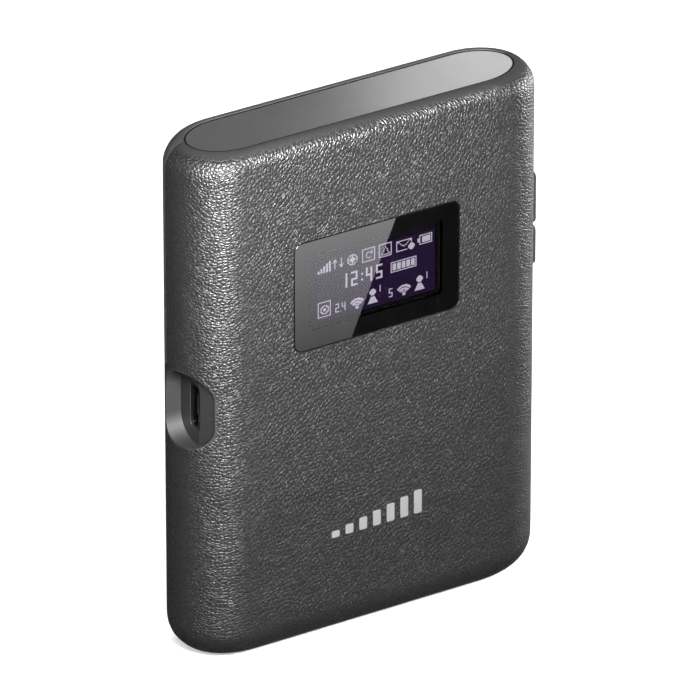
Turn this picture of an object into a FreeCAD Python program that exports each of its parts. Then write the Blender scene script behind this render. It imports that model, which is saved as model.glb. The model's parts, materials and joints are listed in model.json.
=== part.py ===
import FreeCAD, Part
import math
import os

# Pocket mobile hotspot standing on its short end.
# Millimetres; X to the right seen from the display, -Y the display side, +Z up the long side.
# The origin is the centre of the bottom end.

os.makedirs("parts", exist_ok=True)
V = FreeCAD.Vector

# ---- Driving dimensions -------------------------------------------------------------------
WIDTH = 65.8
HEIGHT = 91.0
DEPTH = 14.9
WALL = 1.5
TOP_WALL = 2.5

# Section across the body: flat front and back joined by elliptical sides.
WIDEST_Y = 1.4
FRONT_SIDE_REACH = 8.3
BACK_SIDE_REACH = 7.9

# End roundings as (at the sides, at the front, at the back).
TOP_ROUND = (3.8, 2.5, 0.6)
BOTTOM_ROUND = (7.5, 6.5, 0.9)

# Parting line between the covers: level at the widest line, then stepped back lower down.
SEAM_UPPER_Y = 1.9
SEAM_LOWER_Y = 4.6
SEAM_STEP_Z = (50.3, 53.0)
SEAM_GAP = 0.28

# Locating tabs of the back cover, inside the front cover's walls.
TAB_X = (28.75, 29.35)
TAB_Z = (14.0, 34.0)
TAB_LENGTH = 6.0
TAB_REACH = 1.2

# End plate let into the top.
PLATE_HALF_LENGTH = 29.4
PLATE_Y = (-4.7, 6.05)
PLATE_END_REACH = 7.45
PLATE_THICK = 1.1
PLATE_DROP = 0.12
PLATE_GAP = 0.2
PLATE_BEVEL = 0.15
PLATE_SEAT_CLEAR = 0.02

# Display: window in the front face, module behind it.
WINDOW_SIZE = (30.4, 19.2)
WINDOW_Z = 63.4
WINDOW_CORNER = 1.6
WINDOW_GAP = 0.1
LENS_THICK = 0.8
LENS_DROP = 0.03
ADHESIVE_THICK = 0.1
VIEW_SIZE = (24.4, 13.4)
VIEW_CENTRE = (-0.2, 63.7)
VIEW_CORNER = 0.6
OLED_SIZE = (26.7, 18.6, 1.4)
OLED_DROP = 1.3
HOLDER_INSET = 0.3
HOLDER_RIM = 3.0
RIBBON_THICK = 0.15
RIBBON_HALF = 6.0
RIBBON_STEPS = (1.3, 3.4)

# Charging port pocket in the left side.
PORT_Y = -1.6
PORT_Z = 46.1
POCKET_Y = (-6.1, 2.7)
POCKET_HEIGHT = 13.1
POCKET_CORNER = 3.9
POCKET_FLOOR_X = -29.95
POCKET_SLOPE_Y = -2.8
POCKET_SLOPE_X = -28.7
POCKET_WALL = 1.2
PORT_SHELL = (5.4, 2.7, 7.7)
PORT_MOUTH = (1.85, 6.9)
PORT_RECESS = 0.1
PORT_WALL = 0.6
TONGUE_Y = (-0.2, 0.35)
TONGUE_LENGTH = 3.6

# Buttons in the right side, as (lowest z, highest z).
POWER_Z = (61.6, 70.6)
MENU_Z = (54.2, 61.1)
BUTTON_Y = (-2.2, 1.0)
BUTTON_OUT_X = 32.98
BUTTON_GAP = 0.15
BUTTON_FLANGE = 0.5
FLANGE_X = (29.1, 29.9)
BUTTON_CORNER = 0.8
BUTTON_ROUND = 0.35
SWITCH_X = (24.6, 28.4)
SWITCH_DEPTH = 2.2
SWITCH_LENGTH = 4.6
SWITCH_LUGS = 0.5
PLUNGER_R = 0.7
PLUNGER_REACH = 2.3
BORE_CLEAR = 0.06

# Reset button on the board's back, as (x, z).
RESET = (20.0, 76.0)
RESET_R = 1.1
RESET_CASE = (3.6, 1.6)
RESET_Y = (1.55, 2.9)

# Board, frame and battery layers, as ranges in Y.
BOARD_Y = (-0.2, 0.6)
BOARD_X = (-28.3, 28.5)
BOARD_Z = (4.5, 87.0)
FRAME_Y = (0.7, 5.0)
FRAME_FLOOR = 0.85
FRAME_HALF = 28.5
FRAME_Z = (3.6, 87.6)
FRAME_WALL = 1.2
BATTERY = ((-22.0, 22.0), (1.7, 5.75), (5.6, 61.8))
BAY_CLEAR = 0.2
CONTACT_Z = (62.1, 65.0)
CONTACT_HALF = 5.0
CONTACT_X = (-3.6, -1.2, 1.2, 3.6)
CONTACT_GROOVE = 1.2
BLADE_WIDTH = 0.8
PAD_WIDTH = 1.6
SCOOP_R = 6.0
SCOOP_DEPTH = 2.2

# Shield cans and the chips under them, as (x range, z range).
CANS = [((-20, 1), (28, 49)), ((4, 20.5), (28, 49)), ((-17.5, 17.5), (9, 25))]
CAN_HEIGHT = 2.2
CAN_SHEET = 0.2
CHIPS = [((-15, -5), (33, 43)), ((7, 16), (34, 43)), ((-13, -5), (12, 20)), ((4, 14), (13, 20))]
CHIP_HEIGHT = 1.2

# Card socket and card.
SIM_X = (-20.5, -4.5)
SIM_Z = (69.0, 84.0)
SIM_SOCKET_HEIGHT = 1.4
SIM_CARD_RISE = 0.35
SIM_CARD_THICK = 0.76
SIM_CARD_X = (-19.7, -4.1)
SIM_CARD_INSET = 1.5
SIM_CUT = 2.5

# Antennas on the cover's inner face, and their springs, as (x, z).
ANTENNA_THICK = 0.15
SLOT_WIDTH = 0.8
SPRING_THICK = 0.15
SPRINGS = [(-19, 10.5), (19, 80), (-18.8, 60), (18.8, 60)]

# Screws, as (x, z).
FRAME_SCREWS = [(-25.4, 10), (25.4, 10), (-25.4, 60), (25.4, 49), (-25.4, 81), (25.4, 81)]
BOARD_SCREWS = [(-25.4, 31), (25.4, 31)]
SCREW_R = 0.8
SCREW_HEAD = (1.5, 0.8)
BOSS_R = 2.0

# Emblem: rising bars low on the front face.
EMBLEM_Z = 18.8
EMBLEM_BARS = 7
EMBLEM_PITCH = 2.55
EMBLEM_BAR = 1.45
EMBLEM_HEIGHTS = (1.2, 4.2)
EMBLEM_SUNK = 0.12
EMBLEM_PROUD = 0.03

FRONT = -DEPTH / 2
BACK = DEPTH / 2
INNER_FRONT = FRONT + WALL
INNER_BACK = BACK - WALL
FAR = 60.0


# ---- Shape helpers ------------------------------------------------------------------------
def box(x, y, z):
    """A block given by its (low, high) pairs."""
    return Part.makeBox(x[1] - x[0], y[1] - y[0], z[1] - z[0], V(x[0], y[0], z[0]))


def rounded(x, y, z, axis, radius):
    """A block whose edges along axis are rounded."""
    block = box(x, y, z)
    along = [e for e in block.Edges if abs(e.tangentAt(e.FirstParameter).dot(axis)) > 0.99]
    return block.makeFillet(radius, along)


def pin(x, z, y, radius):
    """A round bar along Y."""
    return Part.makeCylinder(radius, y[1] - y[0], V(x, y[0], z), V(0, 1, 0))


def prism(points, along):
    """A solid from a flat polygon."""
    return Part.Face(Part.makePolygon(points + points[:1])).extrude(along)


def middle(centre, size):
    return (centre - size / 2, centre + size / 2)


def grown(pair, by):
    return (pair[0] - by, pair[1] + by)


def save(node, shape):
    shape.exportStep("parts/" + node + ".step")


def quarter(start, corner, end):
    """An exact quarter ellipse from start to end, tangent to both sides of corner."""
    curve = Part.BezierCurve()
    curve.setPoles([start, corner, end])
    curve.setWeight(2, math.sqrt(0.5))
    return curve.toShape()


def oval(half, y, reach_front, reach_back, widest, z):
    """A closed outline at height z: straight front and back, quarter ellipses at the sides."""
    front, back = y
    f = half - reach_front
    b = half - reach_back
    edges = [
        Part.makeLine(V(-f, front, z), V(f, front, z)),
        quarter(V(f, front, z), V(half, front, z), V(half, widest, z)),
        quarter(V(half, widest, z), V(half, back, z), V(b, back, z)),
        Part.makeLine(V(b, back, z), V(-b, back, z)),
        quarter(V(-b, back, z), V(-half, back, z), V(-half, widest, z)),
        quarter(V(-half, widest, z), V(-half, front, z), V(-f, front, z)),
    ]
    return Part.Wire(edges)


def set_in(below, radius):
    """How far a rounding of this radius has stepped in at a depth below the end."""
    if below >= radius:
        return 0.0
    return radius - math.sqrt(radius ** 2 - (radius - below) ** 2)


def body_outline(shrink, rounds, below, z):
    """The body's outline, moved in by shrink all round, at a depth below one end."""
    side, front, back = [set_in(below, max(r - shrink, 0.3)) for r in rounds]
    half = WIDTH / 2 - shrink - side
    y = (FRONT + shrink + front, BACK - shrink - back)
    return oval(half, y, FRONT_SIDE_REACH - shrink, BACK_SIDE_REACH - shrink, WIDEST_Y, z)


def end_cap(shrink, rounds, z_end, inward):
    """One rounded end as a loft; inward is +1 for the bottom end and -1 for the top."""
    drop = max(rounds) - min(shrink, max(rounds) - 0.5)
    steps = 9
    wires = []
    for i in range(steps + 1):
        below = drop * (i / steps) ** 2
        wires.append(body_outline(shrink, rounds, below, z_end + inward * below))
    return Part.makeLoft(wires, True, False), wires[-1], drop


def body(shrink, bottom_z, top_z):
    """The whole pillow shape between two end heights, moved in by shrink all round."""
    low, low_wire, low_drop = end_cap(shrink, BOTTOM_ROUND, bottom_z, 1)
    high, high_wire, high_drop = end_cap(shrink, TOP_ROUND, top_z, -1)
    length = (top_z - high_drop) - (bottom_z + low_drop)
    core = Part.Face(low_wire).extrude(V(0, 0, length))
    return low.multiFuse([core, high])


def behind_seam(offset):
    """Everything behind the parting line, which is moved back by offset."""
    low, high = SEAM_STEP_Z
    points = [
        V(-FAR, SEAM_UPPER_Y + offset, 2 * FAR),
        V(-FAR, SEAM_UPPER_Y + offset, high),
        V(-FAR, SEAM_LOWER_Y + offset, low),
        V(-FAR, SEAM_LOWER_Y + offset, -FAR),
        V(-FAR, FAR, -FAR),
        V(-FAR, FAR, 2 * FAR),
    ]
    return prism(points, V(2 * FAR, 0, 0))


def plate_solid(gap, low, high):
    """The end plate's outline with a gap round it, between two heights."""
    y = grown(PLATE_Y, gap)
    reach = PLATE_END_REACH + gap
    wire = oval(PLATE_HALF_LENGTH + gap, y, reach, reach, sum(PLATE_Y) / 2, low)
    return Part.Face(wire).extrude(V(0, 0, high - low))


def pocket(grow, depth):
    """The port pocket's space; grow makes it larger all round and depth moves its floor in."""
    y = grown(POCKET_Y, grow)
    z = grown(middle(PORT_Z, POCKET_HEIGHT), grow)
    outline = rounded((-FAR, 0), y, z, V(1, 0, 0), POCKET_CORNER + grow)
    section = [
        V(-FAR, y[0], z[0]),
        V(POCKET_SLOPE_X + depth, y[0], z[0]),
        V(POCKET_FLOOR_X + depth, POCKET_SLOPE_Y, z[0]),
        V(POCKET_FLOOR_X + depth, y[1], z[0]),
        V(-FAR, y[1], z[0]),
    ]
    return outline.common(prism(section, V(0, 0, z[1] - z[0])))


def screw(x, z, seat, tip):
    """A pan-head screw with its head on seat, facing +Y."""
    head = pin(x, z, (seat, seat + SCREW_HEAD[1]), SCREW_HEAD[0])
    drive = pin(x, z, (seat + SCREW_HEAD[1] / 2, seat + SCREW_HEAD[1] + 1), SCREW_R / 2)
    return head.cut(drive).fuse(pin(x, z, (tip, seat), SCREW_R)).removeSplitter()


# ---- Covers -------------------------------------------------------------------------------
outer = body(0, 0, HEIGHT)
cavity = body(WALL, WALL, HEIGHT - TOP_WALL)
plate_top = HEIGHT - PLATE_DROP
plate_seat = plate_top - PLATE_THICK
plate_space = plate_solid(PLATE_GAP, plate_seat - PLATE_SEAT_CLEAR, HEIGHT + 1)
window_x = middle(0, WINDOW_SIZE[0])
window_z = middle(WINDOW_Z, WINDOW_SIZE[1])
lens_y = (FRONT + LENS_DROP, FRONT + LENS_DROP + LENS_THICK)
adhesive_y = (lens_y[1], lens_y[1] + ADHESIVE_THICK)
view_x = middle(VIEW_CENTRE[0], VIEW_SIZE[0])
view_z = middle(VIEW_CENTRE[1], VIEW_SIZE[1])
view_hole = rounded(view_x, (-FAR, 0), view_z, V(0, 1, 0), VIEW_CORNER)


def emblem_bars():
    bars = []
    for i in range(EMBLEM_BARS):
        rise = i / (EMBLEM_BARS - 1)
        tall = EMBLEM_HEIGHTS[0] + rise * (EMBLEM_HEIGHTS[1] - EMBLEM_HEIGHTS[0])
        x = middle((i - (EMBLEM_BARS - 1) / 2) * EMBLEM_PITCH, EMBLEM_BAR)
        y = (FRONT - EMBLEM_PROUD, FRONT + EMBLEM_SUNK)
        bars.append(rounded(x, y, (EMBLEM_Z, EMBLEM_Z + tall), V(0, 1, 0), 0.3))
    return bars


def button_opening():
    y = grown(BUTTON_Y, BUTTON_GAP)
    z = grown((MENU_Z[0], POWER_Z[1]), BUTTON_GAP)
    return rounded((28, FAR), y, z, V(1, 0, 0), 0.9)


def front_cover():
    cover = outer.cut(behind_seam(-SEAM_GAP / 2)).cut(cavity)
    bump = pocket(POCKET_WALL, POCKET_WALL).common(outer)
    cover = cover.fuse(bump.cut(behind_seam(-SEAM_GAP / 2)))
    for x, z in FRAME_SCREWS + BOARD_SCREWS:
        cover = cover.fuse(pin(x, z, (INNER_FRONT - 0.5, BOARD_Y[0]), BOSS_R))
        cover = cover.cut(pin(x, z, (INNER_FRONT + 0.4, BOARD_Y[0] + 1), SCREW_R + 0.02))
    cover = cover.cut(pocket(0, 0))
    port_y = grown(middle(PORT_Y, PORT_SHELL[1]), 0.1)
    port_z = grown(middle(PORT_Z, PORT_SHELL[2]), 0.1)
    cover = cover.cut(rounded((-FAR, -25), port_y, port_z, V(1, 0, 0), 0.8))
    lens_x = grown(window_x, WINDOW_GAP)
    lens_z = grown(window_z, WINDOW_GAP)
    lens_corner = WINDOW_CORNER + WINDOW_GAP
    cover = cover.cut(rounded(lens_x, (-FAR, adhesive_y[1]), lens_z, V(0, 1, 0), lens_corner))
    cover = cover.cut(view_hole)
    cover = cover.cut(button_opening()).cut(plate_space)
    for bar in emblem_bars():
        cover = cover.cut(bar)
    return cover.removeSplitter()


def back_cover():
    cover = outer.common(behind_seam(SEAM_GAP / 2)).cut(cavity).cut(plate_space)
    # Locating tabs that reach in front of the parting line inside the front cover's walls.
    for side in (-1, 1):
        for z in TAB_Z:
            x = sorted((side * TAB_X[0], side * TAB_X[1]))
            tab = box(x, (SEAM_LOWER_Y - TAB_REACH, INNER_BACK + 0.3), (z, z + TAB_LENGTH))
            cover = cover.fuse(tab.common(outer))
    return cover.removeSplitter()


save("front_cover", front_cover())
save("back_cover", back_cover())

plate = plate_solid(0, plate_seat, plate_top)
rim = [e for e in plate.Edges if e.BoundBox.ZMin > plate_top - 0.01]
save("end_plate", plate.makeChamfer(PLATE_BEVEL, rim))

save("display_window", rounded(window_x, lens_y, window_z, V(0, 1, 0), WINDOW_CORNER))
adhesive = rounded(window_x, adhesive_y, window_z, V(0, 1, 0), WINDOW_CORNER)
save("window_adhesive", adhesive.cut(view_hole))
save("front_emblem", Part.makeCompound(emblem_bars()))


# ---- Buttons and their switches -----------------------------------------------------------
switch_y = (BOARD_Y[0] - SWITCH_DEPTH, BOARD_Y[0])
plunger_y = sum(switch_y) / 2
plunger_x = (FLANGE_X[0] - PLUNGER_REACH, FLANGE_X[0])


def side_button(z, flange_z):
    """A cap with a retaining flange inside the wall."""
    cap = rounded((FLANGE_X[1], BUTTON_OUT_X), BUTTON_Y, z, V(1, 0, 0), BUTTON_CORNER)
    outer_edges = [e for e in cap.Edges if e.BoundBox.XMin > BUTTON_OUT_X - 0.01]
    cap = cap.makeFillet(BUTTON_ROUND, outer_edges)
    flange = box(FLANGE_X, grown(BUTTON_Y, BUTTON_FLANGE), flange_z)
    return cap.fuse(flange).removeSplitter()


def bar_x(x, z, radius):
    """A round bar along X at the plungers' level, at mid-height of z."""
    return Part.makeCylinder(radius, x[1] - x[0], V(x[0], plunger_y, sum(z) / 2), V(1, 0, 0))


def side_plunger(z):
    return bar_x(plunger_x, z, PLUNGER_R)


def side_switch(z):
    """A switch case on the board's edge with a bore for its plunger."""
    length = middle(sum(z) / 2, SWITCH_LENGTH)
    case = box(SWITCH_X, switch_y, length)
    bore = bar_x((plunger_x[0] - 0.6, SWITCH_X[1] + 1), z, PLUNGER_R + BORE_CLEAR)
    lugs = box(grown(SWITCH_X, -0.6), (switch_y[0] + 0.6, switch_y[1]), grown(length, SWITCH_LUGS))
    return case.fuse(lugs).removeSplitter().cut(bore)


save("power_button", side_button(POWER_Z, (POWER_Z[0], POWER_Z[1] + BUTTON_FLANGE)))
save("menu_button", side_button(MENU_Z, (MENU_Z[0] - BUTTON_FLANGE, MENU_Z[1])))
for name, z in (("power", POWER_Z), ("menu", MENU_Z)):
    save(name + "_plunger", side_plunger(z))
    save(name + "_switch", side_switch(z))

reset_y = (BOARD_Y[1], BOARD_Y[1] + RESET_CASE[1])
reset_case = box(middle(RESET[0], RESET_CASE[0]), reset_y, middle(RESET[1], RESET_CASE[0]))
reset_bore = pin(*RESET, (reset_y[0] + 0.5, FAR), RESET_R + BORE_CLEAR)
save("reset_switch", reset_case.cut(reset_bore))
save("reset_button", pin(*RESET, RESET_Y, RESET_R))


# ---- Charging port ------------------------------------------------------------------------
port_x = (POCKET_FLOOR_X + PORT_RECESS, POCKET_FLOOR_X + PORT_RECESS + PORT_SHELL[0])
shell_block = rounded(
    port_x, middle(PORT_Y, PORT_SHELL[1]), middle(PORT_Z, PORT_SHELL[2]), V(1, 0, 0), 0.7
)
mouth = rounded(
    (-FAR, port_x[1] - PORT_WALL),
    middle(PORT_Y, PORT_MOUTH[0]),
    middle(PORT_Z, PORT_MOUTH[1]),
    V(1, 0, 0),
    0.5,
)
save("port_shell", shell_block.cut(mouth))
tongue_x = (port_x[0] + 0.6, port_x[1] - PORT_WALL)
tongue_y = (PORT_Y + TONGUE_Y[0], PORT_Y + TONGUE_Y[1])
save("port_tongue", box(tongue_x, tongue_y, middle(PORT_Z, TONGUE_LENGTH)))


# ---- Display module -----------------------------------------------------------------------
oled_y = (INNER_FRONT + 0.05, INNER_FRONT + 0.05 + OLED_SIZE[2])
oled_x = middle(VIEW_CENTRE[0], OLED_SIZE[0])
oled_z = middle(VIEW_CENTRE[1] - OLED_DROP, OLED_SIZE[1])
save("oled_panel", box(oled_x, oled_y, oled_z))
holder_y = (oled_y[1], BOARD_Y[0])
holder = box(grown(oled_x, -HOLDER_INSET), holder_y, grown(oled_z, -HOLDER_INSET))
opening = box(grown(oled_x, -HOLDER_RIM), (-FAR, FAR), grown(oled_z, -HOLDER_RIM))
save("oled_holder", holder.cut(opening))
ribbon_front = oled_y[1] - 0.7
ribbon_back = BOARD_Y[0]
fold_z = oled_z[0] - RIBBON_STEPS[0]
foot_z = oled_z[0] - RIBBON_STEPS[1]
ribbon = [
    V(-RIBBON_HALF, ribbon_front, oled_z[0]),
    V(-RIBBON_HALF, ribbon_front, fold_z),
    V(-RIBBON_HALF, ribbon_back - RIBBON_THICK, fold_z),
    V(-RIBBON_HALF, ribbon_back - RIBBON_THICK, foot_z),
    V(-RIBBON_HALF, ribbon_back, foot_z),
    V(-RIBBON_HALF, ribbon_back, fold_z + RIBBON_THICK),
    V(-RIBBON_HALF, ribbon_front + RIBBON_THICK, fold_z + RIBBON_THICK),
    V(-RIBBON_HALF, ribbon_front + RIBBON_THICK, oled_z[0]),
]
save("oled_ribbon", prism(ribbon, V(2 * RIBBON_HALF, 0, 0)))


# ---- Board and what it carries ------------------------------------------------------------
board = rounded(BOARD_X, BOARD_Y, BOARD_Z, V(0, 1, 0), 5.0)
for x, z in FRAME_SCREWS + BOARD_SCREWS:
    board = board.cut(pin(x, z, (-FAR, FAR), SCREW_R + 0.15))
save("main_board", board)

can_y = (BOARD_Y[0] - CAN_HEIGHT, BOARD_Y[0])
cans = []
for x, z in CANS:
    case = rounded(x, can_y, z, V(0, 1, 0), 0.5)
    room = box(grown(x, -CAN_SHEET), (can_y[0] + CAN_SHEET, FAR), grown(z, -CAN_SHEET))
    cans.append(case.cut(room))
save("shield_cans", Part.makeCompound(cans))
chips = [box(x, (BOARD_Y[0] - CHIP_HEIGHT, BOARD_Y[0]), z) for x, z in CHIPS]
save("processor_chips", Part.makeCompound(chips))

card_y = (BOARD_Y[1] + SIM_CARD_RISE, BOARD_Y[1] + SIM_CARD_RISE + SIM_CARD_THICK)
card_z = grown(SIM_Z, -SIM_CARD_INSET)
socket = box(SIM_X, (BOARD_Y[1], BOARD_Y[1] + SIM_SOCKET_HEIGHT), SIM_Z)
slot = box((SIM_CARD_X[0] - 0.2, FAR), grown(card_y, 0.04), grown(card_z, 0.2))
finger_space = box((SIM_X[0] + 5, SIM_X[1] - 4), (card_y[1], FAR), grown(card_z, -2))
save("sim_socket", socket.cut(slot).cut(finger_space))
corner = prism(
    [
        V(SIM_CARD_X[0], 0, card_z[1]),
        V(SIM_CARD_X[0] + SIM_CUT, 0, card_z[1]),
        V(SIM_CARD_X[0], 0, card_z[1] - SIM_CUT),
    ],
    V(0, FAR, 0),
)
save("sim_card", box(SIM_CARD_X, card_y, card_z).cut(corner))


# ---- Antennas -----------------------------------------------------------------------------
antenna_y = (INNER_FRONT, INNER_FRONT + ANTENNA_THICK)


def antenna(x, z, notches):
    """A flat strip with slots cut in from alternate long edges."""
    strip = box(x, antenna_y, z)
    pitch = (x[1] - x[0]) / (notches + 1)
    tall = z[1] - z[0]
    for i in range(notches):
        at = x[0] + pitch * (i + 1)
        from_edge = (z[0] - 1, z[0] + 0.7 * tall)
        if i % 2 == 0:
            from_edge = (z[1] - 0.4 * tall - 1, z[1] + 0.3 * tall)
        strip = strip.cut(box(middle(at, SLOT_WIDTH), (-FAR, FAR), from_edge))
    return strip


save("main_antenna", antenna((-21, 21), (8, 15), 7))
save("diversity_antenna", antenna((-21, 21), (76, 84), 7))
save(
    "wifi_antennas",
    Part.makeCompound([antenna((-22.5, -15), (57, 71), 2), antenna((15, 22.5), (57, 71), 2)]),
)


def antenna_spring(x, z):
    """A bent strip reaching from the board to an antenna."""
    low = antenna_y[1]
    high = BOARD_Y[0]
    t = SPRING_THICK
    points = [
        V(x - 0.5, high, z - 1.0),
        V(x - 0.5, high, z + 1.0),
        V(x - 0.5, low + t, z - 0.6),
        V(x - 0.5, low + t, z + 1.0),
        V(x - 0.5, low, z + 1.0),
        V(x - 0.5, low, z - 0.95),
        V(x - 0.5, high - t, z + 0.6),
        V(x - 0.5, high - t, z - 1.0),
    ]
    return prism(points, V(1.0, 0, 0))


save("antenna_springs", Part.makeCompound([antenna_spring(x, z) for x, z in SPRINGS]))


# ---- Inner frame, battery and fasteners ---------------------------------------------------
frame_floor_y = (FRAME_Y[0], FRAME_Y[0] + FRAME_FLOOR)
bay_x = grown(BATTERY[0], BAY_CLEAR)
bay_z = (BATTERY[2][0] - BAY_CLEAR, CONTACT_Z[1] + 0.3)


def inner_frame():
    frame = rounded((-FRAME_HALF, FRAME_HALF), FRAME_Y, FRAME_Z, V(0, 1, 0), 5.5)
    inside = grown((-FRAME_HALF, FRAME_HALF), -FRAME_WALL)
    room = rounded(inside, (frame_floor_y[1], FAR), grown(FRAME_Z, -FRAME_WALL), V(0, 1, 0), 4.3)
    frame = frame.cut(room)
    wall = box(grown(bay_x, FRAME_WALL), FRAME_Y, grown(bay_z, FRAME_WALL))
    wall = wall.cut(box(bay_x, (-FAR, FAR), bay_z))
    frame = frame.fuse(wall)
    # Finger scoops in the bay's side walls, for lifting the battery out.
    scoop_y = (FRAME_Y[1] - SCOOP_DEPTH, FAR)
    for x in grown(bay_x, FRAME_WALL):
        frame = frame.cut(pin(x, sum(BATTERY[2]) / 2, scoop_y, SCOOP_R))
    # Windows in the floor for the card socket, the contacts and the reset switch.
    windows = [
        rounded((SIM_X[0] - 0.6, 13), (-FAR, FAR), grown(SIM_Z, 0.6), V(0, 1, 0), 1.0),
        box(middle(0, 2 * CONTACT_HALF + 0.4), (-FAR, FAR), grown(CONTACT_Z, 0.2)),
        box(middle(RESET[0], 4.2), (-FAR, FAR), middle(RESET[1], 4.2)),
    ]
    for window in windows:
        frame = frame.cut(window)
    for x, z in FRAME_SCREWS:
        frame = frame.cut(pin(x, z, (-FAR, FAR), SCREW_R + 0.15))
    for x, z in BOARD_SCREWS:
        frame = frame.cut(pin(x, z, (-FAR, frame_floor_y[1] + 0.5), SCREW_HEAD[0] + 0.3))
    return frame.removeSplitter()


save("inner_frame", inner_frame())

screw_tip = INNER_FRONT + 1.0
frame_screws = [screw(x, z, frame_floor_y[1], screw_tip) for x, z in FRAME_SCREWS]
save("frame_screws", Part.makeCompound(frame_screws))
board_screws = [screw(x, z, BOARD_Y[1], screw_tip) for x, z in BOARD_SCREWS]
save("board_screws", Part.makeCompound(board_screws))

pack = rounded(*BATTERY, V(0, 0, 1), 1.2)
block = box(middle(0, 2 * CONTACT_HALF), (BOARD_Y[1], 4.8), CONTACT_Z)
blades = []
for x in CONTACT_X:
    pack = pack.cut(box(middle(x, PAD_WIDTH), (3.0, 4.6), (BATTERY[2][1] - 0.3, 2 * FAR)))
    groove_z = (CONTACT_Z[0] - 1, CONTACT_Z[0] + 1.2)
    block = block.cut(box(middle(x, CONTACT_GROOVE), (2.2, FAR), groove_z))
    blades.append(box(middle(x, BLADE_WIDTH), (2.3, 4.4), (CONTACT_Z[0] + 0.15, groove_z[1])))
save("battery", pack)
save("battery_contacts", block)
save("contact_blades", Part.makeCompound(blades))
label_y = (frame_floor_y[1], frame_floor_y[1] + 0.08)
save("bay_label", box((-16, 16), label_y, (16, 44)))
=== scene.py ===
import json
import math

import bmesh
import bpy
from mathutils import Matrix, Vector


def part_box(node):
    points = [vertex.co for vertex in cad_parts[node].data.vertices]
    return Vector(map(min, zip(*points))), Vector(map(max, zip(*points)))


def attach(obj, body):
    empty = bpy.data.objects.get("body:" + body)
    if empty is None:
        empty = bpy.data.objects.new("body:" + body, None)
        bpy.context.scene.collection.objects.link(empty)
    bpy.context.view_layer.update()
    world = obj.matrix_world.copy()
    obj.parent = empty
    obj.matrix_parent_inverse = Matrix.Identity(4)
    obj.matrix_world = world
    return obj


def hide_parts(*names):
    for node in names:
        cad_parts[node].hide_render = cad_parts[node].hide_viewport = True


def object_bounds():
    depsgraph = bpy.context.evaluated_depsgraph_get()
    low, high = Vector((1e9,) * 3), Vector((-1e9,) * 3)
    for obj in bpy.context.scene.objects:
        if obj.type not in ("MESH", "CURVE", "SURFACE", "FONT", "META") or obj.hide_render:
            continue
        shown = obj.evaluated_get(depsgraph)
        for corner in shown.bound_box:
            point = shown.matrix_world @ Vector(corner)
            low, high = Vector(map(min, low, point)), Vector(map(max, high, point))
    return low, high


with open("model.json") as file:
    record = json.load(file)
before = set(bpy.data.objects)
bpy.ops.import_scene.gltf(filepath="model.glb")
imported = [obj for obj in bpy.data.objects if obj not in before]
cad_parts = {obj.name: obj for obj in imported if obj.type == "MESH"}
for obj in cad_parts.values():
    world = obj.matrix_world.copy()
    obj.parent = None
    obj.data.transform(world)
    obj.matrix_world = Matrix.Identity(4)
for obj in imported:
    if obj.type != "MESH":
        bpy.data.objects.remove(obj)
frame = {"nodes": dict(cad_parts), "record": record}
cad_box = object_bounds()
MM = 0.001
NODES = frame["nodes"]

LOW, HIGH = (Vector(c) for c in cad_box)


# ---- Mesh building ------------------------------------------------------------------------
def new_object(name, mesh, material):
    obj = bpy.data.objects.new(name, mesh)
    bpy.context.scene.collection.objects.link(obj)
    mesh.materials.append(material)
    return obj


def mesh_from(bm, name, smooth_angle=None):
    """A mesh, flat all over or smooth up to an angle; faces of many sides are always flat."""
    mesh = bpy.data.meshes.new(name)
    bmesh.ops.recalc_face_normals(bm, faces=bm.faces[:])
    bm.to_mesh(mesh)
    bm.free()
    if smooth_angle is not None:
        mesh.shade_smooth()
        mesh.set_sharp_from_angle(angle=math.radians(smooth_angle))
        for face in mesh.polygons:
            face.use_smooth = len(face.vertices) <= 4
    return mesh


def bridge(bm, rings):
    """Four-sided faces between each ring of vertices and the next."""
    for first, second in zip(rings, rings[1:]):
        for i in range(len(first)):
            bm.faces.new((first[i - 1], first[i], second[i], second[i - 1]))


def add_slab(bm, x0, x1, y0, y1, z0, z1):
    """A closed box between two corners."""
    corners = [bm.verts.new((x, y, z)) for x in (x0, x1) for y in (y0, y1) for z in (z0, z1)]
    sides = ((0, 1, 3, 2), (4, 6, 7, 5), (0, 4, 5, 1), (2, 3, 7, 6), (0, 2, 6, 4), (1, 5, 7, 3))
    for side in sides:
        bm.faces.new([corners[i] for i in side])


# ---- Material building --------------------------------------------------------------------
NOISE_RANGE = (0.3, 0.7)  # where most of a noise texture's values lie


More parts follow.
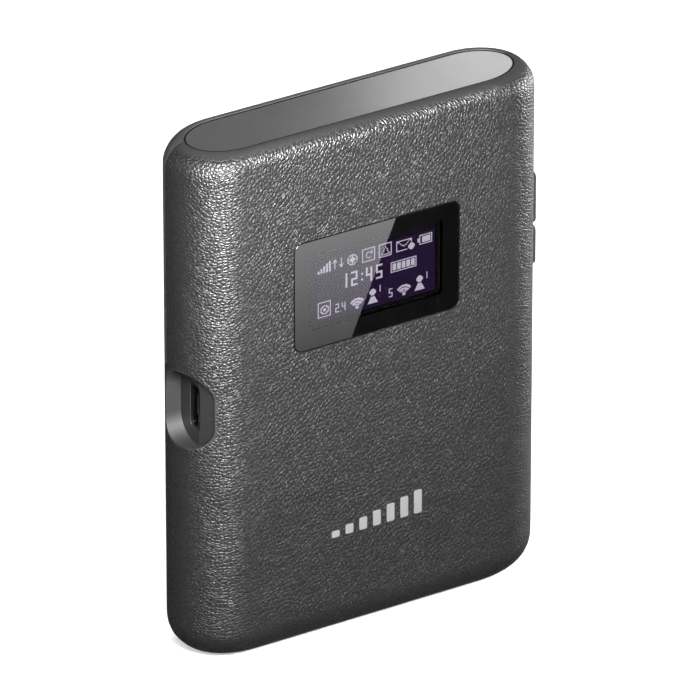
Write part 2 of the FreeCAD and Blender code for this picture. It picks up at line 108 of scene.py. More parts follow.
class Nodes:
    """A material's node tree, with its texture coordinates in millimetres of the object."""

    def __init__(self, name):
        self.material = bpy.data.materials.new(name)
        self.material.use_nodes = True
        self.tree = self.material.node_tree
        self.shader = self.tree.nodes["Principled BSDF"]
        place = self.tree.nodes.new("ShaderNodeTexCoord").outputs
        self.normal = place["Normal"]
        self.mm = self.stretch((1 / MM,) * 3, place["Object"])

    def add(self, kind, inputs, **settings):
        node = self.tree.nodes.new(kind)
        for key, value in settings.items():
            setattr(node, key, value)
        for key, value in inputs.items():
            self.feed(node.inputs[key], value)
        return node

    def feed(self, socket, value):
        if isinstance(value, bpy.types.NodeSocket):
            self.tree.links.new(value, socket)
        else:
            socket.default_value = value

    def stretch(self, scale, vector=None):
        node = self.add("ShaderNodeMapping", {"Vector": vector or self.mm, "Scale": scale})
        return node.outputs["Vector"]

    def split(self, vector=None):
        """The x, y and z of a vector."""
        return self.add("ShaderNodeSeparateXYZ", {0: vector or self.mm}).outputs

    def flat(self, x, y):
        """A place on a plane."""
        return self.add("ShaderNodeCombineXYZ", {0: x, 1: y}).outputs[0]

    def noise(self, scale, detail=3.0, rough=0.5, vector=None):
        inputs = {"Vector": vector or self.mm, "Scale": scale, "Detail": detail, "Roughness": rough}
        return self.add("ShaderNodeTexNoise", inputs).outputs

    def math(self, operation, a, b=0.5):
        return self.add("ShaderNodeMath", {0: a, 1: b}, operation=operation).outputs[0]

    def vector(self, operation, a, b):
        return self.add("ShaderNodeVectorMath", {0: a, 1: b}, operation=operation).outputs[0]

    def remap(self, value, low, high, to_low=0.0, to_high=1.0):
        inputs = {"Value": value, "From Min": low, "From Max": high,
                  "To Min": to_low, "To Max": to_high}
        return self.add("ShaderNodeMapRange", inputs).outputs[0]

    def vary(self, noise, low, high):
        """A number that follows a noise from low to high."""
        return self.remap(noise, *NOISE_RANGE, low, high)

    def fade(self, factor, first, second):
        """A number between two numbers."""
        inputs = {0: factor, 2: first, 3: second}
        return self.add("ShaderNodeMix", inputs, data_type="FLOAT").outputs[0]

    def blend(self, factor, first, second):
        """A colour between two colours."""
        inputs = {0: factor, 6: first, 7: second}
        return self.add("ShaderNodeMix", inputs, data_type="RGBA").outputs[2]

    def uneven(self, noise, first, second):
        """A colour that follows a noise between two colours."""
        return self.blend(self.vary(noise, 0.0, 1.0), first, second)

    def bump(self, height, depth_mm):
        inputs = {"Height": height, "Distance": depth_mm * MM, "Strength": 1.0}
        return self.add("ShaderNodeBump", inputs).outputs["Normal"]

    def finish(self, **sockets):
        for key, value in sockets.items():
            self.feed(self.shader.inputs[key.replace("_", " ")], value)
        return self.material


def rgb(r, g, b):
    return (r, g, b, 1.0)


def grey(value):
    return rgb(value, value, value * 1.02)


def scaled(colour, factor=1.0):
    return rgb(*(c * factor for c in colour))


# ---- The two shells -----------------------------------------------------------------------
# The parting line in mm: its y at two heights with a slant between them, half of its gap, and
# how far past the gap its painted shade, black, fades out.
SEAM_Z = (50.3, 53.0)
SEAM_Y = (4.6, 1.9)
SEAM_HALF = 0.14
SEAM_FADE = (0.05, 0.12)

# The port pocket on the left side in mm: its middle and half size as (y, z), the radius of its
# corners, how far past its edge the grain starts, and the x that bounds the left side.
POCKET_MID = (-1.7, 46.1)
POCKET_HALF = (4.4, 6.55)
POCKET_CORNER = 3.9
POCKET_FADE = (0.02, 0.3)
LEFT_SIDE_X = -20.0

# The leather grain: pebbles for each mm, across and up, and how a pebble rises from a crease.
FACE_PEBBLES = (1.8, 1.3, 1.0)
EDGE_PEBBLES = (1.2, 1.85, 1.0)
UNDER_PEBBLES = (1.7, 1.7, 1.0)
CREASE_WIDTH = 0.36
DOME_POWER = 0.7
FINE_SCALE, FINE_SHARE = 2.1, 0.15
# Bends of the grain, as (scale, reach in mm), from wide to narrow.
UPRIGHT_BENDS = ((0.1, 1.8), (1.0, 0.4))
UNDER_BENDS = ((1.0, 0.45),)
# The distance from the middle, with a noise of TURN_WANDER mm added, at which the face's grain
# becomes the edge's.
TURN_X = (27.9, 28.5)
TURN_WANDER = 9.0
SIDE_SHRINK = 0.8  # length of the unrolled side for each mm of depth
GRAIN_TOP_Z = (90.8, 90.1)  # the grain fades in below the top rim
FACING_DOWN = (-0.6, -0.85)  # Z of the normals of the underside
GRAIN_DEPTH = 0.09
# Each is a range of one value and what it becomes at the range's two ends.
SHADE_BY_HEIGHT = (0.45, 0.9, 0.0, 1.0)
ROUGHNESS_BY_HEIGHT = (0.2, 0.8, 0.6, 0.38)
RELIEF_BY_X = (18.0, 25.0, 1.22, 1.05)
# Painted shade: the creases are coloured black, darker than the pebbles, for the shade that falls
# in them.
CREASE_SHADE = 0.0
PEBBLE_TONE = 0.0055
SMOOTH_TONE = 0.006
POCKET_TONE = 0.0025


def pebbled(n, place):
    """Height of leather pebbles on a plane: domes parted by narrow creases, and finer ones."""
    def domes(scale):
        inputs = {"Vector": place, "Scale": scale, "Randomness": 1.0}
        cells = n.add("ShaderNodeTexVoronoi", inputs,
                      feature="DISTANCE_TO_EDGE", voronoi_dimensions="2D")
        return n.remap(cells.outputs["Distance"], 0.0, CREASE_WIDTH)

    large = n.math("MULTIPLY", n.math("POWER", domes(1.0), DOME_POWER), 1 - FINE_SHARE)
    return n.math("ADD", large, n.math("MULTIPLY", domes(FINE_SCALE), FINE_SHARE))


def bent(n, place, bends):
    """A place moved about by noise, so that the grain's lines don't run straight."""
    for scale, reach in bends:
        bend = n.vector("MULTIPLY", n.noise(scale, 2.0)["Color"], (reach,) * 3)
        place = n.vector("ADD", place, bend)
    return place


def seam_shade(n, y, z):
    """Painted shade: 1 on the faces that meet at the parting line, which no light reaches and which
    are painted black for it, and 0 elsewhere.
    """
    seam = n.remap(z, *SEAM_Z, *SEAM_Y)
    off = n.math("ABSOLUTE", n.math("SUBTRACT", y, seam))
    return n.remap(off, *(SEAM_HALF + reach for reach in SEAM_FADE), 1.0, 0.0)


def outside_pocket(n, x, y, z):
    """1 on the grained shell, 0 in the smooth port pocket, a rounded rectangle."""
    past = []
    for value, middle, half in zip((y, z), POCKET_MID, POCKET_HALF):
        off = n.math("ABSOLUTE", n.math("SUBTRACT", value, middle))
        past.append(n.math("MAXIMUM", n.math("SUBTRACT", off, half - POCKET_CORNER), 0.0))
    off = n.add("ShaderNodeVectorMath", {0: n.flat(*past)}, operation="LENGTH").outputs["Value"]
    away = n.remap(off, *(POCKET_CORNER + reach for reach in POCKET_FADE))
    return n.math("MAXIMUM", away, n.math("GREATER_THAN", x, LEFT_SIDE_X))


def grained_shell():
    """Dark satin plastic moulded with a leather grain, smooth in the pocket and at the top rim,
    with painted shade in its creases and at the parting line.

    The grain lies on the shell as if unrolled: one way up it, and the other way round it
    from the face into the sides. The pebbles lengthen upwards on the face and turn to run
    round the long edges. The underside has the same grain laid flat.
    """
    n = Nodes("grained_shell")
    face_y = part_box("front_cover")[0].y / MM
    x, y, z = n.split()
    from_middle = n.math("ABSOLUTE", x)
    depth = n.math("MULTIPLY", n.math("SUBTRACT", y, face_y), SIDE_SHRINK)
    around = n.math("ADD", x, n.math("MULTIPLY", n.math("SIGN", x), depth))

    upright = bent(n, n.flat(around, z), UPRIGHT_BENDS)
    under = bent(n, n.flat(x, y), UNDER_BENDS)
    face = pebbled(n, n.stretch(FACE_PEBBLES, upright))
    edge = pebbled(n, n.stretch(EDGE_PEBBLES, upright))
    below = pebbled(n, n.stretch(UNDER_PEBBLES, under))
    wander = n.math("MULTIPLY", n.noise(0.35)["Fac"], TURN_WANDER)
    sideways = n.remap(n.math("ADD", from_middle, wander), *TURN_X)
    height = n.fade(sideways, face, edge)
    height = n.fade(n.remap(n.split(n.normal)["Z"], *FACING_DOWN), height, below)

    on_shell = outside_pocket(n, x, y, z)
    grain = n.math("MULTIPLY", n.remap(z, *GRAIN_TOP_Z), on_shell)
    seam = seam_shade(n, y, z)
    # Painted shade: the colour darkens from the pebbles' tops down towards the crease black.
    base = n.blend(n.remap(height, *SHADE_BY_HEIGHT), grey(CREASE_SHADE), grey(PEBBLE_TONE))
    base = n.blend(grain, grey(SMOOTH_TONE), base)
    base = n.blend(on_shell, grey(POCKET_TONE), base)
    # Painted shade: black on the faces at the parting line.
    base = n.blend(seam, base, grey(0.0))
    relief = n.math("MULTIPLY", grain, n.remap(from_middle, *RELIEF_BY_X))
    height = n.math("MULTIPLY", height, relief)
    roughness = n.math("MAXIMUM", n.remap(height, *ROUGHNESS_BY_HEIGHT), seam)
    return n.finish(Base_Color=base, Roughness=roughness, Normal=n.bump(height, GRAIN_DEPTH))


def plain_shell():
    """The back cover: fine matt plastic, with painted shade, black, where it meets the front cover.
    """
    n = Nodes("plain_shell")
    _, y, z = n.split()
    speck = n.noise(9.0, 3.0, 0.6)["Fac"]
    seam = seam_shade(n, y, z)
    base = n.uneven(n.noise(0.12, 2.0)["Fac"], grey(0.02), grey(0.026))
    # Painted shade: black on the faces at the parting line.
    base = n.blend(seam, base, grey(0.0))
    roughness = n.math("MAXIMUM", n.vary(speck, 0.38, 0.5), seam)
    return n.finish(Base_Color=base, Roughness=roughness, Normal=n.bump(speck, 0.006))


# ---- Other materials ----------------------------------------------------------------------
FACING_UP = (0.85, 0.97)  # Z of the normals of the plate's face, past those of its bevel


def end_metal():
    """Satin metal with a fine mottle, with painted shade, black and matt, on its bevel and edge."""
    n = Nodes("satin_metal")
    marks = n.noise(12.0, 4.0, 0.65)["Fac"]
    top = n.remap(n.split(n.normal)["Z"], *FACING_UP)
    base = n.uneven(n.noise(0.1, 2.0)["Fac"], grey(0.46), grey(0.5))
    # Painted shade: the bevel and edge turn black and matt, for the dark line of the gap round the
    # plate.
    base = n.blend(top, grey(0.003), base)
    roughness = n.blend(top, grey(0.9), n.vary(marks, 0.25, 0.37))
    return n.finish(Base_Color=base, Roughness=roughness, Metallic=top,
                    Normal=n.bump(marks, 0.002))


def fine_plastic(name, colour, rough=0.5, depth=0.006):
    """Moulded plastic with a fine spark-eroded texture and a little unevenness."""
    n = Nodes(name)
    speck = n.noise(9.0, 3.0, 0.6)["Fac"]
    base = n.uneven(n.noise(0.12, 2.0)["Fac"], scaled(colour, 0.88), scaled(colour, 1.18))
    roughness = n.vary(speck, rough - 0.06, rough + 0.08)
    return n.finish(Base_Color=base, Roughness=roughness, Normal=n.bump(speck, depth))


def metal(name, colour, rough=0.3, stretch=(1.0, 1.0, 1.0), scale=6.0):
    """Metal with fine marks, drawn out along one direction where stretch asks for it."""
    n = Nodes(name)
    marks = n.noise(scale, 4.0, 0.65, n.stretch(stretch))["Fac"]
    base = n.uneven(n.noise(0.1, 2.0)["Fac"], scaled(colour, 0.93), scaled(colour))
    roughness = n.vary(marks, rough - 0.05, rough + 0.07)
    return n.finish(Base_Color=base, Roughness=roughness, Metallic=1.0,
                    Normal=n.bump(marks, 0.002))


def circuit_board():
    """Green solder mask over copper tracks, with gold lands."""
    n = Nodes("board_laminate")
    turned = n.add("ShaderNodeMapping", {"Vector": n.mm, "Rotation": (math.pi / 2, 0, 0)})
    lanes = n.add(
        "ShaderNodeTexBrick",
        {"Vector": turned.outputs[0], "Scale": 0.45, "Mortar Size": 0.06, "Bias": 0.0},
    ).outputs["Fac"]
    dots = n.add(
        "ShaderNodeTexVoronoi",
        {"Vector": n.stretch((1, 0.01, 1)), "Scale": 0.9, "Randomness": 0.35},
        feature="F1", voronoi_dimensions="3D",
    )
    land = n.remap(dots.outputs["Distance"], 0.16, 0.18, 1.0, 0.0)
    mask = n.blend(lanes, rgb(0.006, 0.055, 0.028), rgb(0.012, 0.11, 0.05))
    base = n.blend(land, mask, rgb(0.75, 0.55, 0.2))
    return n.finish(Base_Color=base, Roughness=n.remap(land, 0, 1, 0.3, 0.22), Metallic=land,
                    Normal=n.bump(n.math("ADD", lanes, land), 0.02))


def wrapped_film(name, colour, stripe):
    """Printed shrink film with a plain coloured band and soft creases."""
    n = Nodes(name)
    band_z, band_half = 14.0, 2.2
    off = n.math("ABSOLUTE", n.math("SUBTRACT", n.split()["Z"], band_z))
    crease = n.noise(0.7, 3.0, 0.5, n.stretch((0.3, 1, 1)))["Fac"]
    base = n.uneven(n.noise(0.2)["Fac"], scaled(colour), scaled(colour, 1.25))
    base = n.blend(n.math("LESS_THAN", off, band_half), base, scaled(stripe))
    return n.finish(Base_Color=base, Roughness=n.vary(crease, 0.26, 0.4),
                    Normal=n.bump(crease, 0.03))


def smears(n):
    """Faint smears on the lens, as a change of tint and a roughness that only its gloss shows."""
    smear = n.noise(0.25, 4.0, 0.6, n.stretch((1.0, 1.0, 0.4)))["Fac"]
    return n.remap(smear, 0.35, 0.65), n.remap(smear, 0.45, 0.75, 0.0, 0.02)


def clear_lens():
    """Smoke-tinted acrylic."""
    n = Nodes("window_lens")
    tint, roughness = smears(n)
    base = n.blend(tint, rgb(0.6, 0.58, 0.64), rgb(0.66, 0.64, 0.7))
    return n.finish(Base_Color=base, Roughness=roughness, Transmission_Weight=1.0, IOR=1.49)


def printed_border():
    """The lens where its back is printed black: only its polished face shows."""
    n = Nodes("lens_border")
    tint, roughness = smears(n)
    return n.finish(Base_Color=n.blend(tint, grey(0.0004), grey(0.0008)), Roughness=roughness)


def dead_black(name, scale, tones, rough, gloss, depth):
    """A black surface with a fine mottle and next to no gloss."""
    n = Nodes(name)
    mottle = n.noise(scale)["Fac"]
    return n.finish(Base_Color=n.uneven(mottle, *(grey(tone) for tone in tones)), Roughness=rough,
                    Specular_IOR_Level=gloss, Normal=n.bump(mottle, depth))


def lit(name, colour, strength):
    """A glowing surface, a little uneven from place to place."""
    n = Nodes(name)
    glow = n.uneven(n.noise(3.0, 1.0)["Fac"], scaled(colour, 0.88), scaled(colour))
    return n.finish(
        Base_Color=rgb(0.002, 0.002, 0.002), Roughness=0.6, Specular_IOR_Level=0.0,
        Emission_Color=glow, Emission_Strength=strength,
    )


FINISHES = {
    "grained_shell": grained_shell(),
    "plain_shell": plain_shell(),
    "button_plastic": fine_plastic("button_plastic", (0.008, 0.008, 0.0085), 0.58),
    "satin_metal": end_metal(),
    "window_lens": clear_lens(),
    "black_mask": dead_black("black_mask", 4.0, (0.001, 0.003), 0.8, 0.05, 0.002),
    "emblem_silver": metal("emblem_silver", (0.86, 0.86, 0.87), 0.42, scale=14.0),
    "display_glass": fine_plastic("display_glass", (0.003, 0.002, 0.005), 0.2, 0.001),
    "ribbon_film": fine_plastic("ribbon_film", (0.42, 0.17, 0.03), 0.3),
    "board_laminate": circuit_board(),
    "tinned_steel": metal("tinned_steel", (0.6, 0.6, 0.58), 0.3, (0.1, 1, 1)),
    "blackened_steel": metal("blackened_steel", (0.035, 0.035, 0.035), 0.35, (0.1, 1, 1)),
    "chip_resin": fine_plastic("chip_resin", (0.015, 0.015, 0.016), 0.5),
    "switch_resin": fine_plastic("switch_resin", (0.02, 0.02, 0.021), 0.48),
    "plunger_resin": fine_plastic("plunger_resin", (0.55, 0.52, 0.44), 0.45),
    "gold_contact": metal("gold_contact", (0.83, 0.58, 0.22), 0.28),
    "frame_plastic": fine_plastic("frame_plastic", (0.02, 0.02, 0.021), 0.55),
    "screw_steel": metal("screw_steel", (0.5, 0.5, 0.5), 0.34),
    "battery_wrap": wrapped_film("battery_wrap", (0.02, 0.022, 0.03), (0.05, 0.19, 0.3)),
    "card_plastic": fine_plastic("card_plastic", (0.7, 0.72, 0.75), 0.35),
    "label_paper": fine_plastic("label_paper", (0.75, 0.75, 0.72), 0.7, 0.01),
}


CAD_SMOOTH_ANGLE = 32


def dress_cad():
    slots = {s["node"]: s["material_slot"] for s in frame["record"]["subparts"]}
    for node, obj in NODES.items():
        obj.data.materials.clear()
        obj.data.materials.append(FINISHES[slots[node]])
        obj.data.shade_smooth()
        obj.data.set_sharp_from_angle(angle=math.radians(CAD_SMOOTH_ANGLE))


dress_cad()


# ---- Display ------------------------------------------------------------------------------
DOTS_ACROSS = 128
LIT_SIZE = (21.74 * MM, 10.86 * MM)
LIT_SHIFT = (0.71 * MM, 0.56 * MM)  # from the panel's middle
TILE_RIM = 0.06  # dark rim of each dot, as a part of the pitch
RASTER_FRONT, ICONS_BACK, ICONS_FRONT = 0.006 * MM, 0.007 * MM, 0.02 * MM
SEGMENTS = (
    "abcdef", "bc", "abged", "abgcd", "fgbc", "afgcd", "afgedc", "abc", "abcdefg", "abcdfg",
)


class Dots:
    """The display's dot matrix: lit dots are gathered as (column, row), row 0 at the top."""

    def __init__(self):
        self.on = set()

    def rect(self, x, y, w, h, filled=True):
        for i in range(w):
            for j in range(h):
                if filled or i in (0, w - 1) or j in (0, h - 1):
                    self.on.add((x + i, y + j))

    def clear(self, x, y, w, h):
        for i in range(w):
            for j in range(h):
                self.on.discard((x + i, y + j))

    def line(self, a, b):
        steps = max(abs(b[0] - a[0]), abs(b[1] - a[1]), 1)
        for k in range(steps + 1):
            x = a[0] + (b[0] - a[0]) * k / steps
            y = a[1] + (b[1] - a[1]) * k / steps
            self.on.add((round(x), round(y)))

    def lines(self, *points):
        for a, b in zip(points, points[1:]):
            self.line(a, b)

    def arc(self, cx, cy, radius, start, stop, thick=1):
        steps = radius * 12
        for k in range(steps):
            angle = math.radians(start + (stop - start) * k / steps)
            for r in range(radius, radius - thick, -1):
                self.on.add((round(cx + r * math.cos(angle)), round(cy - r * math.sin(angle))))

    def ring(self, cx, cy, radius):
        self.arc(cx, cy, radius, 0, 360)

    def disc(self, cx, cy, radius):
        for i in range(-radius, radius + 1):
            for j in range(-radius, radius + 1):
                if i * i + j * j <= radius * radius + 1:
                    self.on.add((cx + i, cy + j))

    def digit(self, value, x, y, w, h, thick=1):
        """A seven-segment figure."""
        half = h // 2
        bars = {
            "a": (x, y, w, thick),
            "d": (x, y + h - thick, w, thick),
            "g": (x, y + half, w, thick),
            "f": (x, y, thick, half + 1),
            "b": (x + w - thick, y, thick, half + 1),
            "e": (x, y + half, thick, h - half),
            "c": (x + w - thick, y + half, thick, h - half),
        }
        for key in SEGMENTS[value]:
            self.rect(*bars[key])


def draw_status(d):
    """The top row: pictures of the radio's and the battery's state."""
    # Signal bars
    for i in range(5):
        d.rect(1 + 3 * i, 11 - 2 * i, 2, 2 * i + 3)
    # Arrows up and down
    for x, tip, tail, side in ((19, 3, 12, 1), (26, 12, 3, -1)):
        d.line((x, tip), (x, tail))
        d.lines((x - 2, tip + 3 * side), (x, tip), (x + 2, tip + 3 * side))
    # Globe
    d.ring(38, 8, 5)
    d.line((33, 8), (43, 8))
    d.line((38, 3), (38, 13))
    d.ring(38, 8, 2)
    # Boxed turning arrow and boxed triangle
    for x in (49, 67):
        d.rect(x, 1, 14, 14, False)
    d.arc(56, 8, 3, 40, 330)
    d.line((59, 4), (59, 7))
    d.lines((78, 12), (74, 4), (70, 12), (78, 12))
    # Envelope with a spot on its corner
    d.rect(86, 3, 17, 11, False)
    d.lines((86, 3), (94, 9), (102, 3))
    d.clear(98, 7, 8, 8)
    d.disc(102, 11, 3)
    # Battery
    d.rect(111, 3, 14, 10, False)
    d.rect(109, 6, 2, 4)
    d.rect(114, 5, 9, 6)


def draw_clock(d):
    """The middle row: a clock and a level bar."""
    for x, value in ((26, 1), (37, 2), (53, 4), (64, 5)):
        d.digit(value, x, 21, 7, 15, 2)
    for y in (25, 31):
        d.rect(48, y, 2, 2)
    d.rect(80, 23, 28, 11, False)
    for k in range(5):
        d.rect(82 + 5 * k, 25, 4, 7)


def draw_radios(d):
    """The bottom row: a boxed dial, then each radio's figures, waves, user and count."""
    d.rect(1, 44, 14, 16, False)
    d.ring(8, 52, 4)
    d.disc(8, 52, 1)
    d.rect(25, 58, 1, 1)  # the point in 2.4
    for x, digits in ((20, (2, 4)), (78, (5,))):
        for k, value in enumerate(digits):
            d.digit(value, x + 7 * k, 50, 4, 9)
        waves = x + 7 * len(digits) + 9
        user = waves + 17
        for radius, thick in ((9, 2), (6, 2), (3, 1)):
            d.arc(waves, 59, radius, 40, 140, thick)
        d.disc(waves, 59, 1)
        d.disc(user, 48, 3)
        for j in range(7):
            d.rect(user - 2 - j // 2, 53 + j, 5 + 2 * (j // 2), 1)
        d.digit(1, user + 6, 43, 3, 7)


def display():
    """The lit raster behind the lens, one small raised tile for each lit dot."""
    low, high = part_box("oled_panel")
    mid_x = (low.x + high.x) / 2 + LIT_SHIFT[0]
    mid_z = (low.z + high.z) / 2 + LIT_SHIFT[1]
    left = mid_x - LIT_SIZE[0] / 2
    top = mid_z + LIT_SIZE[1] / 2
    pitch = LIT_SIZE[0] / DOTS_ACROSS
    rim = TILE_RIM * pitch

    bm = bmesh.new()
    add_slab(bm, left, mid_x + LIT_SIZE[0] / 2, low.y - RASTER_FRONT, low.y,
             top - LIT_SIZE[1], top)
    raster = new_object("display_raster", mesh_from(bm, "display_raster"),
                        lit("raster_glow", (0.16, 0.05, 0.32), 0.13))

    dots = Dots()
    draw_status(dots)
    draw_clock(dots)
    draw_radios(dots)
    bm = bmesh.new()
    for column, row in sorted(dots.on):
        x = left + column * pitch
        z = top - (row + 1) * pitch
        add_slab(bm, x + rim, x + pitch - rim, low.y - ICONS_FRONT, low.y - ICONS_BACK,
                 z + rim, z + pitch - rim)
    icons = new_object("display_icons", mesh_from(bm, "display_icons"),
                       lit("icon_glow", (0.72, 0.7, 0.76), 1.35))
    for piece in (raster, icons):
        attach(piece, "main_unit")


display()


# ---- Lens ---------------------------------------------------------------------------------
LENS_CORNER = 1.6 * MM
LENS_BEVEL = 0.14 * MM
BEVEL_ANGLES = (0, 30, 60, 90)
CORNER_STEPS = 8
# The clear view in the printed border: how far it passes the lit area, its corners and its rise.
VIEW_MARGIN = (1.4 * MM, 1.2 * MM)
VIEW_CORNER = 0.6 * MM
VIEW_RISE = 1.3 * MM


def rounded_loop(half_x, half_z, radius):
    """Points round a rounded rectangle, from the centre."""
    points = []
    for sx, sz, start in ((1, 1, 0), (-1, 1, 90), (-1, -1, 180), (1, -1, 270)):
        for k in range(CORNER_STEPS + 1):
            a = math.radians(start + 90 * k / CORNER_STEPS)
            points.append((sx * (half_x - radius) + radius * math.cos(a),
                           sz * (half_z - radius) + radius * math.sin(a)))
    return points


def lens():
    """The window lens: a polished bevel, a border printed black behind, and a clear view."""
    low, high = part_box("display_window")
    mid = (low + high) / 2
    half = (high - low) / 2
    levels = [(high.y, 0.0)]
    for angle in BEVEL_ANGLES:
        a = math.radians(angle)
        levels.append((low.y + LENS_BEVEL * (1 - math.sin(a)), LENS_BEVEL * (1 - math.cos(a))))
    bm = bmesh.new()
    rings = []
    for y, inset in levels:
        loop = rounded_loop(half.x - inset, half.z - inset, LENS_CORNER - inset)
        rings.append([bm.verts.new((mid.x + x, y, mid.z + z)) for x, z in loop])
    panel_low, panel_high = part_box("oled_panel")
    view_x = (panel_low.x + panel_high.x) / 2
    view_z = (panel_low.z + panel_high.z) / 2 + VIEW_RISE
    view = rounded_loop(LIT_SIZE[0] / 2 + VIEW_MARGIN[0], LIT_SIZE[1] / 2 + VIEW_MARGIN[1],
                        VIEW_CORNER)
    rings.append([bm.verts.new((view_x + x, low.y, view_z + z)) for x, z in view])
    bridge(bm, rings)
    bm.faces.new(rings[0])
    bm.faces.new(rings[-1])
    mesh = mesh_from(bm, "window_lens", smooth_angle=35)
    piece = new_object("window_lens", mesh, FINISHES["window_lens"])
    mesh.materials.append(printed_border())
    for face in mesh.polygons:
        in_front = face.center.y < low.y + LENS_BEVEL
        on_face = face.center.y < low.y + LENS_BEVEL / 20
        face.material_index = int(len(face.vertices) == 4 and in_front)
        face.use_smooth = face.use_smooth and not on_face
    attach(piece, "main_unit")
    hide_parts("display_window")


lens()


# ---- Painted shade round the end plate: a black ring in its gap ----------------------------
PLATE_END = 7.45 * MM  # length of the plate's elliptical ends
SHADE_RING_GAP = 0.17 * MM
SHADE_RING_LAP = 0.16 * MM
SHADE_RING_DEPTH = 0.6 * MM
SHADE_RING_RISE = 0.012 * MM
SHADE_RING_LIP = 0.002 * MM
END_STEPS = 32


def oval_loop(half_x, half_y, reach):
    """Points round the end plate's outline: straight sides and elliptical ends, from its centre."""
    points = []
    for sign in (1, -1):
        for k in range(END_STEPS + 1):
            a = math.radians(-90 + 180 * k / END_STEPS)
            x = half_x - reach + reach * math.cos(a)
            points.append((sign * x, sign * half_y * math.sin(a)))
    return points


def plate_gap_shade():
    """Painted shade: a black ring that fills the gap round the end plate and laps onto its bevel,
    where there is only shade.
    """
    low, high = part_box("end_plate")
    mid = (low + high) / 2
    half = (high - low) / 2
    profile = [(SHADE_RING_GAP, -SHADE_RING_DEPTH), (SHADE_RING_GAP, 0.0), (-SHADE_RING_LAP, SHADE_RING_RISE),
               (-SHADE_RING_LAP, -SHADE_RING_LIP)]
    bm = bmesh.new()
    rings = []
    for grow, rise in profile:
        loop = oval_loop(half.x + grow, half.y + grow, PLATE_END + grow)
        rings.append([bm.verts.new((mid.x + x, mid.y + y, high.z + rise)) for x, y in loop])
    bridge(bm, rings)
    mesh = mesh_from(bm, "plate_gap_shade", smooth_angle=40)
    # Painted shade: the ring is matt black.
    shade_black = dead_black("gap_shade_black", 6.0, (0.0006, 0.0014), 0.9, 0.1, 0.004)
    piece = new_object("plate_gap_shade", mesh, shade_black)
    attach(piece, "main_unit")


plate_gap_shade()


# ---- Camera -------------------------------------------------------------------------------
AZIMUTH = math.radians(-31.42)
ELEVATION = math.radians(28.23)
DISTANCE = 1711 * MM
FOCAL = 556.0
SENSOR = 36.0
AIM_SHIFT = (-0.38 * MM, 1.27 * MM)  # right and up from the body's middle, in the picture

back = Vector((
    math.sin(AZIMUTH) * math.cos(ELEVATION),
    -math.cos(AZIMUTH) * math.cos(ELEVATION),
    math.sin(ELEVATION),
))
right = Vector((math.cos(AZIMUTH), math.sin(AZIMUTH), 0))
up = back.cross(right)
body_centre = Vector((0, 0, (HIGH.z + LOW.z) / 2))
aim = body_centre + right * AIM_SHIFT[0] + up * AIM_SHIFT[1]

camera_data = bpy.data.cameras.new("camera")
camera_data.lens = FOCAL
camera_data.sensor_width = SENSOR
camera_data.clip_start = 0.01
camera_data.clip_end = 20.0
camera = bpy.data.objects.new("camera", camera_data)
bpy.context.scene.collection.objects.link(camera)
camera.location = aim + back * DISTANCE
camera.rotation_euler = back.to_track_quat("Z", "Y").to_euler()
bpy.context.scene.camera = camera
bpy.context.scene.view_settings.view_transform = "Standard"


# ---- Studio -------------------------------------------------------------------------------
COVE_RADIUS, COVE_BEND, COVE_HEIGHT = 3.2, 0.9, 2.6
COVE_TURNS, COVE_BEND_STEPS = 96, 8
WORLD_LIGHT = 0.12

# The cards that the window mirrors, by the places on the window where their edges show.
CARD_REACH = 6 * MM
STRIP_EDGE_X = 3.5 * MM
STRIP_LEAN = 8.34 / 19.4  # how far the strip's edge moves right for each length up
STRIP_DISTANCE = 0.09
STRIP_GLOW = (0.5, 5.0)
BLACK_REACH = 10 * MM
BLACK_DISTANCE = 0.1


def cove_finish():
    n = Nodes("cove")
    base = n.uneven(n.noise(0.004)["Fac"], grey(0.86), grey(0.9))
    return n.finish(Base_Color=base, Roughness=0.8, Specular_IOR_Level=0.0,
                    Emission_Color=grey(1.0), Emission_Strength=0.35)


def cove():
    """A round floor that curves up into a wall all round, far outside the object."""
    flat = COVE_RADIUS - COVE_BEND
    profile = [(flat, 0.0)]
    for k in range(1, COVE_BEND_STEPS + 1):
        a = math.radians(90 * k / COVE_BEND_STEPS)
        profile.append((flat + COVE_BEND * math.sin(a), COVE_BEND * (1 - math.cos(a))))
    profile.append((COVE_RADIUS, COVE_HEIGHT))
    turns = [2 * math.pi * k / COVE_TURNS for k in range(COVE_TURNS)]
    bm = bmesh.new()
    rings = [[bm.verts.new((r * math.cos(turn), r * math.sin(turn), z)) for turn in turns]
             for r, z in profile]
    bridge(bm, rings)
    bm.faces.new(rings[0])
    obj = new_object("cove", mesh_from(bm, "cove", smooth_angle=40), cove_finish())
    obj.visible_glossy = False
    obj.visible_transmission = False


def soft_light(name, power, size, at, aim):
    data = bpy.data.lights.new(name, "AREA")
    data.shape = "RECTANGLE"
    data.size, data.size_y = size
    data.energy = power
    obj = bpy.data.objects.new(name, data)
    bpy.context.scene.collection.objects.link(obj)
    obj.location = at
    obj.rotation_euler = (Vector(aim) - Vector(at)).to_track_quat("-Z", "Y").to_euler()
    obj.visible_camera = False


def card(name, corners, material):
    """A flat card that only reflections see: it neither shades nor lights anything else."""
    bm = bmesh.new()
    bm.faces.new([bm.verts.new(c) for c in corners])
    obj = new_object(name, mesh_from(bm, name), material)
    for ray in ("camera", "diffuse", "transmission", "volume_scatter", "shadow"):
        setattr(obj, "visible_" + ray, False)


def strip_finish(low, high):
    """A glowing card, dim at its low edge and bright at its high edge."""
    n = Nodes("strip")
    strength = n.remap(n.split()["Z"], low / MM, high / MM, *STRIP_GLOW)
    return n.finish(Base_Color=grey(0.0), Specular_IOR_Level=0.0,
                    Emission_Color=grey(1.0), Emission_Strength=strength)


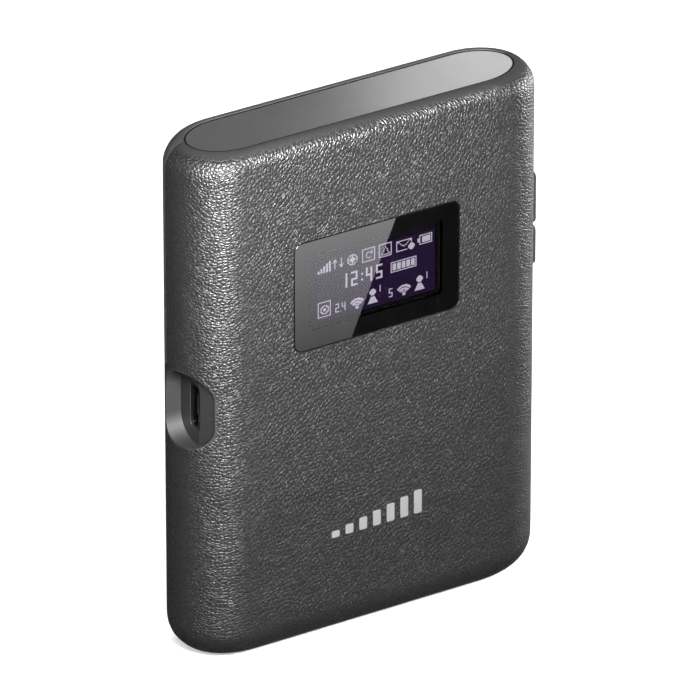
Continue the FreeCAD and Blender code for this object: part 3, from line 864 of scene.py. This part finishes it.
def black_finish():
    return Nodes("black_card").finish(Base_Color=grey(0.0), Roughness=1.0, Specular_IOR_Level=0.0)


def window_cards():
    """Two cards in front of the window, where it mirrors them: a bright strip over a black one."""
    low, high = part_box("display_window")
    mirror_eye = Vector((camera.location.x, 2 * low.y - camera.location.y, camera.location.z))

    def mirrored(x, z, distance):
        """A place that shows at this place on the window when the window mirrors it."""
        point = Vector((x, low.y, z))
        return point + (point - mirror_eye).normalized() * distance

    def edge(z):
        return STRIP_EDGE_X - (high.z - z) * STRIP_LEAN

    left, bottom, top = low.x - CARD_REACH, low.z - CARD_REACH, high.z + CARD_REACH
    corners = ((left, bottom), (edge(bottom), bottom), (edge(top), top), (left, top))
    strip = [mirrored(x, z, STRIP_DISTANCE) for x, z in corners]
    heights = [p.z for p in strip]
    card("strip_card", strip, strip_finish(min(heights), max(heights)))

    left, right = low.x - BLACK_REACH, high.x + BLACK_REACH
    bottom, top = low.z - BLACK_REACH, high.z + BLACK_REACH
    corners = ((left, bottom), (right, bottom), (right, top), (left, top))
    card("black_card", [mirrored(x, z, BLACK_DISTANCE) for x, z in corners], black_finish())


cove()
window_cards()

world = bpy.data.worlds.new("studio")
bpy.context.scene.world = world
world.use_nodes = True
sky = world.node_tree.nodes["Background"]
sky.inputs["Color"].default_value = (1, 1, 1, 1)
sky.inputs["Strength"].default_value = WORLD_LIGHT

MIDDLE = (LOW + HIGH) / 2
soft_light("top", 8.0, (0.5, 0.5), (-0.3, -0.5, 0.8), MIDDLE)
soft_light("strip_left", 2.65, (0.06, 0.06), (-0.062, -0.135, 0.132), (-0.02, 0, 0.08))
soft_light("front_right", 0.2, (0.3, 0.3), (0.25, -0.42, 0.1), MIDDLE)
soft_light("side_left", 0.3, (0.2, 0.2), (-0.4, 0.2, 0.25), MIDDLE)
soft_light("plate_glow", 0.012, (0.05, 0.05), (0.108, 0.12, 0.167), (0.035, 0, HIGH.z))
soft_light("side_right", 1.9, (0.08, 0.15), (0.33, 0.02, 0.08), MIDDLE)
